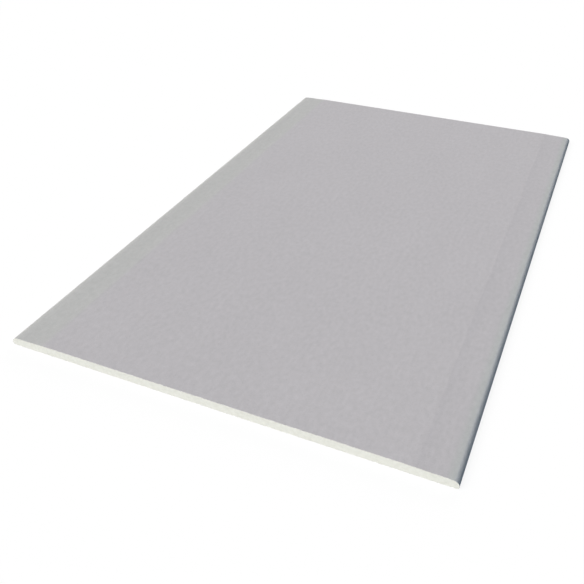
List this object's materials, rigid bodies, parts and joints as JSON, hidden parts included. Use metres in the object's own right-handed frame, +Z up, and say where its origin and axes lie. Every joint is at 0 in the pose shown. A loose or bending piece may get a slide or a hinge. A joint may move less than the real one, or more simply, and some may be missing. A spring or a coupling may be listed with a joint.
{
  "type": "drywall sheet",
  "caption": "Flat rectangular gypsum board wrapped in paper, with tapered half-round long edges and square cut ends, for lining walls and ceilings.",
  "frame": {"origin": "middle of the back, on the plane that the board lies on", "axes": "+X across the width, +Y along the length, +Z up through the thickness, out of the face"},
  "size_m": [0.6, 1, 0.0125],
  "materials": {
    "gypsum": "matte",
    "face_paper": "matte",
    "back_paper": "matte"
  },
  "bodies": {
    "root": {"gypsum_core": "gypsum", "face_paper": "face_paper", "back_paper": "back_paper"}
  },
  "joints": []
}
